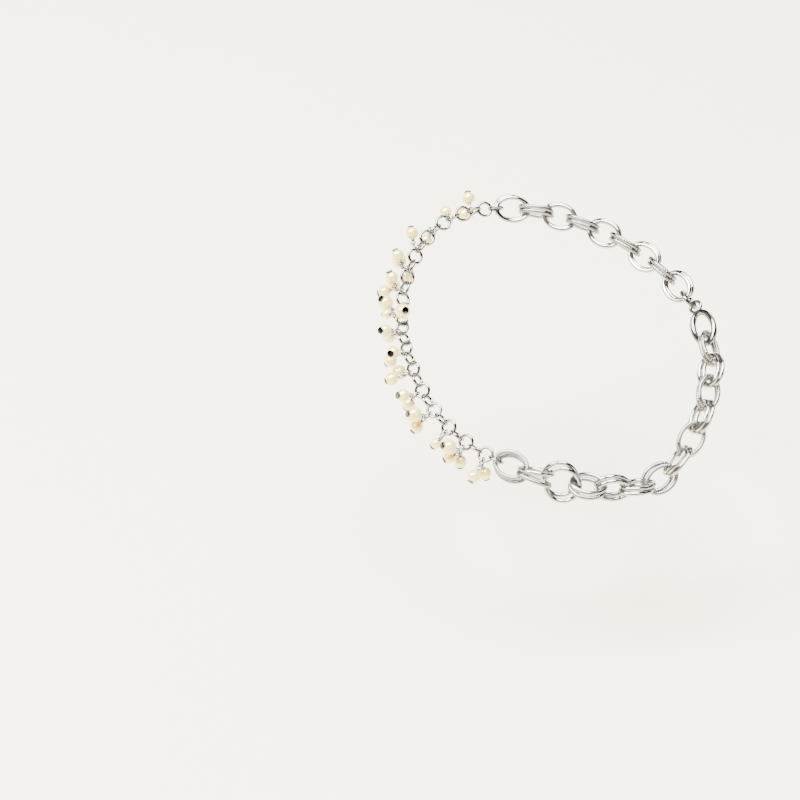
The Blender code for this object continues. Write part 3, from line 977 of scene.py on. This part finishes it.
class ANKLET_OT_pearl_charms(bpy.types.Operator):
    """Hangs the jump rings, the head pins and the pearls from the small rings"""

    bl_idname = "anklet.pearl_charms"
    bl_label = "Pearl charms"

    def execute(self, context):
        sizes, colours = context.scene.anklet_sizes, context.scene.anklet_colours
        links, route = lay_out()
        silver = polished_silver("pin_silver", colours.silver)
        nacre = pearl_nacre("pearl_nacre", colours.cream, colours.blush)
        # The pins' heads' silver is darkened as a painted dark reflection
        painted_dark_reflection_silver = polished_silver("pin_head_silver", colours.silver, sizes.head_painted_reflection_tone)
        rings, pins, pearls, copies = open_ring_tree(), pin_tree(), pearl_tree(), copies_tree()
        head = self.pin_head(painted_dark_reflection_silver)
        ring_values = {
            "Diameter": JUMP_RING_DIAMETER, "Wire": JUMP_RING_WIRE, "Cut": sizes.ring_cut,
            "Steps": JUMP_RING_STEPS, "Wire Sides": RING_SIDES, "Material": silver,
        }
        pin_values = {
            "Wire": sizes.pin_wire, "Eye": EYE_DIAMETER, "Eye Lift": EYE_LIFT, "Neck": PIN_NECK,
            "Turns": sizes.pin_turns, "Wire Sides": PIN_SIDES, "Material": silver,
        }
        head_values = {"Shape": head, "Material": painted_dark_reflection_silver}
        head_lift = PIN_HEAD_THICKNESS / 2 - PIN_HEAD_SUNK
        for count, number in enumerate(sorted({row[0] for row in PEARLS}), 1):
            rows = [row for row in PEARLS if row[0] == number]
            middle, along, hang, drops = charm_places(number, rows, links[number], route)
            ball_values = {
                "Segments": sizes.pearl_segments, "Unevenness": sizes.unevenness,
                "Seed": float(number), "Material": nacre,
            }
            eyes, balls, heads = [], [], []
            for start, outwards, size in drops:
                eyes.append((start, outwards, along))
                balls.append((start + outwards * (PIN_NECK + size / 2), outwards, along, size))
                heads.append((start + outwards * (PIN_NECK + size + head_lift), outwards, along))
            metal = merged([
                grow(rings, [(middle, along, hang)], ring_values),
                grow(pins, eyes, pin_values),
                grow(copies, heads, head_values),
            ])
            pearl = merged([grow(pearls, balls, ball_values)])
            node = f"pearl_charm_{count:02d}"
            add_piece(f"jump_ring_and_pins_{count:02d}", metal, node)
            add_piece(f"pearls_{count:02d}", pearl, node)
        bpy.data.objects.remove(head)
        return {"FINISHED"}

    @staticmethod
    def pin_head(material):
        """The flat polished disc at a pin's end, with a round edge."""
        edge = PIN_HEAD_THICKNESS / 2
        flat = PIN_HEAD_DIAMETER / 2 - edge
        rim = [math.radians(180 * k / RIM_STEPS - 90) for k in range(RIM_STEPS + 1)]
        outline = [(flat + edge * math.cos(a), edge * math.sin(a)) for a in rim]
        mesh = turned_body("pin_head", [(0, -edge), *outline, (0, edge)], HEAD_SIDES, material)
        return bpy.data.objects.new("pin_head", mesh)


class ANKLET_OT_heavy_links(bpy.types.Operator):
    """Sweeps the heavy double oval links, plain and ribbed, and the polished round ring"""

    bl_idname = "anklet.heavy_links"
    bl_label = "Heavy links"

    def execute(self, context):
        sizes, colours = context.scene.anklet_sizes, context.scene.anklet_colours
        links, route = lay_out()
        tree = double_oval_tree()
        plain = polished_silver("link_silver", colours.silver)
        # The ribbed links' silver gets painted shade down in its grooves
        ribbed = polished_silver("ribbed_link_silver", colours.silver, groove_shade=sizes.groove_shade)
        turns = LINK_TURNS + PLAIN_TURNS * len(links)
        for link, (turn, splay) in zip(links[SMALL_RINGS:], turns):
            if link.node.startswith("clasp"):
                continue
            middle, along, away, up = route.frame(link.place)
            number = ROUND_RING_PLACE if link.node == "polished_round_ring" else int(link.node[-2:])
            alternate = (1, 1) if number >= RIBBED_BEYOND and number % 2 else (0, 0)
            above, below = RIBBED.get(number, alternate)
            shift = WIRE_SHIFTS.get(number, LATER_SHIFT)
            girth = math.pi * (link.length + link.width - 2 * sizes.link_wire) / 2
            values = {
                "Length": link.length, "Width": link.width, "Wire": sizes.link_wire,
                "Spacing": WIRE_ASIDE * sizes.link_wire, "Splay": math.radians(splay),
                "Shift Along": shift[0] * MM, "Shift Across": shift[1] * MM,
                "Ribs": round(girth / sizes.rib_pitch), "Wire Sides": LINK_SIDES,
                "Rib Depth Above": above * sizes.rib_depth,
                "Rib Depth Below": below * sizes.rib_depth,
                "Material": ribbed if above or below else plain,
            }
            mesh = merged([grow(tree, [(middle, turned(away, up, turn), along)], values)])
            add_piece(link.node + "_wires", mesh, link.node)
        return {"FINISHED"}


class ANKLET_OT_clasp(bpy.types.Operator):
    """Makes the plain clasp with its eye, and the ring that it closes on"""

    bl_idname = "anklet.clasp"
    bl_label = "Clasp"

    def execute(self, context):
        links, route = lay_out()
        silver = polished_silver("clasp_silver", context.scene.anklet_colours.silver)
        ovals = double_oval_tree()
        wires = {"clasp": CLASP_WIRE, "clasp_ring": CLASP_RING_WIRE}
        names = {"clasp": "clasp_claw", "clasp_ring": "clasp_ring_wire"}
        turns = LINK_TURNS + PLAIN_TURNS * len(links)
        for link, (turn, _) in zip(links[SMALL_RINGS:], turns):
            if link.node not in names:
                continue
            middle, along, away, up = route.frame(link.place)
            axis = turned(away, up, turn)
            values = {
                "Length": link.length, "Width": link.width, "Wire": wires[link.node],
                "Spacing": 0.0, "Shift Along": 0.0, "Shift Across": 0.0, "Splay": 0.0,
                "Rib Depth Above": 0.0, "Rib Depth Below": 0.0,
                "Ribs": CLASP_STEPS // RIB_POINTS, "Wire Sides": LINK_SIDES, "Material": silver,
            }
            meshes = [grow(ovals, [(middle, axis, along)], values)]
            if link.node == "clasp":
                values["Length"] = values["Width"] = CLASP_EYE_DIAMETER
                values["Wire"] = CLASP_EYE_WIRE
                eye_middle = middle + along * clasp_eye_middle()
                meshes.append(grow(ovals, [(eye_middle, axis, along)], values))
            add_piece(names[link.node], merged(meshes), link.node)
        return {"FINISHED"}


class ANKLET_OT_stage(bpy.types.Operator):
    """Lays the pale floor, hangs the soft lights and sets the camera"""

    bl_idname = "anklet.stage"
    bl_label = "Stage"

    def execute(self, context):
        stage, colours = context.scene.anklet_stage, context.scene.anklet_colours
        self.lay_floor(CAD_BOX[0].z - stage.floor_drop, colours.paper)
        for name, (place, size, power) in LIGHTS.items():
            self.hang_light(name, place, size, getattr(stage, power))
        self.hang_overhead("open_sky", stage.sky_power)
        self.light_room(context, stage, colours.sky)
        self.set_camera(context)
        return {"FINISHED"}

    @staticmethod
    def lay_floor(height, colour):
        bm = bmesh.new()
        bmesh.ops.create_grid(bm, x_segments=1, y_segments=1, size=FLOOR_REACH)
        bmesh.ops.translate(bm, verts=bm.verts, vec=(0, 0, height))
        mesh = bpy.data.meshes.new("paper_floor")
        bm.to_mesh(mesh)
        bm.free()
        mesh.materials.append(pale_paper("pale_paper", colour))
        floor = bpy.data.objects.new("paper_floor", mesh)
        bpy.context.scene.collection.objects.link(floor)

    @staticmethod
    def hang_light(name, place, size, power):
        light = bpy.data.lights.new(name, "AREA")
        light.shape = "SQUARE"
        light.size = size
        light.energy = power
        thing = bpy.data.objects.new(name, light)
        thing.location = place
        thing.rotation_euler = (-Vector(place)).to_track_quat("-Z", "Y").to_euler()
        bpy.context.scene.collection.objects.link(thing)

    @staticmethod
    def hang_overhead(name, power):
        light = bpy.data.lights.new(name, "SUN")
        light.angle = math.radians(OVERHEAD_SPREAD)
        light.energy = power
        bpy.context.scene.collection.objects.link(bpy.data.objects.new(name, light))

    @staticmethod
    def light_room(context, stage, colour):
        """A room of bright panels with dark gaps and a pale horizon, before a pale backdrop."""
        bright, dark = stage.room_bright, stage.room_dark
        world = bpy.data.worlds.new("soft_room")
        world.use_nodes = True
        maker = Maker(world.node_tree)
        view = maker.add("ShaderNodeTexCoord")["Generated"]
        height = maker.add("ShaderNodeSeparateXYZ", None, {"Vector": view})["Z"]
        start, full = PANEL_EDGE
        spots = {"Value": maker.noise(view, PANEL_SCALE, 0), "From Min": start, "From Max": full}
        panel = maker.add("ShaderNodeMapRange", None, spots)["Result"]
        start, full = HORIZON_EDGE
        band = {"Value": height, "From Min": start, "From Max": full}
        band = maker.add("ShaderNodeMapRange", None, band)["Result"]
        room = dark + (bright - dark) * panel
        light = maker.math("MAXIMUM", room, bright * band)
        seen = maker.add("ShaderNodeLightPath")["Is Camera Ray"]
        strength = light + seen * (stage.backdrop - light)
        sky = world.node_tree.nodes["Background"]
        sky.inputs["Color"].default_value = opaque(colour)
        maker.tree.links.new(strength.socket, sky.inputs["Strength"])
        context.scene.world = world

    @staticmethod
    def set_camera(context):
        azimuth, elevation = math.radians(CAMERA_AZIMUTH), math.radians(CAMERA_ELEVATION)
        forward = Vector((
            -math.sin(azimuth) * math.cos(elevation),
            math.cos(azimuth) * math.cos(elevation),
            -math.sin(elevation),
        ))
        right = Vector((math.cos(azimuth), math.sin(azimuth), 0))
        above = right.cross(forward)
        focal = FRAME_PIXELS * CAMERA_LENS / SENSOR
        sideways = (ORIGIN_PIXEL[0] - FRAME_PIXELS / 2) / focal
        upwards = (FRAME_PIXELS / 2 - ORIGIN_PIXEL[1]) / focal
        lens = bpy.data.cameras.new("photo_camera")
        lens.lens = CAMERA_LENS
        lens.sensor_width = SENSOR
        lens.clip_start = 0.01
        camera = bpy.data.objects.new("photo_camera", lens)
        camera.matrix_world = Matrix((right, above, -forward)).transposed().to_4x4()
        camera.location = -CAMERA_DEPTH * (forward + right * sideways + above * upwards)
        context.scene.collection.objects.link(camera)
        context.scene.camera = camera


STEPS = (
    ANKLET_OT_small_rings, ANKLET_OT_pearl_charms, ANKLET_OT_heavy_links, ANKLET_OT_clasp,
    ANKLET_OT_stage,
)


class ANKLET_PT_panel(bpy.types.Panel):
    """Lists the anklet's sizes, colours and steps"""

    bl_idname = "ANKLET_PT_panel"
    bl_label = "Pearl anklet"
    bl_space_type = "VIEW_3D"
    bl_region_type = "UI"
    bl_category = "Anklet"

    def draw(self, context):
        scene = context.scene
        for group in (scene.anklet_sizes, scene.anklet_colours, scene.anklet_stage):
            box = self.layout.box()
            for name in group.bl_rna.properties.keys():
                if name not in {"rna_type", "name"}:
                    box.prop(group, name)
        for step in STEPS:
            self.layout.operator(step.bl_idname)


GROUPS = {"anklet_sizes": AnkletSizes, "anklet_colours": AnkletColours, "anklet_stage": AnkletStage}


def register():
    for label, group in GROUPS.items():
        bpy.utils.register_class(group)
        setattr(bpy.types.Scene, label, PointerProperty(type=group))
    for step in STEPS:
        bpy.utils.register_class(step)
    bpy.utils.register_class(ANKLET_PT_panel)


def unregister():
    bpy.utils.unregister_class(ANKLET_PT_panel)
    for step in reversed(STEPS):
        bpy.utils.unregister_class(step)
    for label, group in GROUPS.items():
        delattr(bpy.types.Scene, label)
        bpy.utils.unregister_class(group)


def main():
    register()
    for step in STEPS:
        area, name = step.bl_idname.split(".")
        getattr(getattr(bpy.ops, area), name)()


if __name__ == "__main__":
    main()
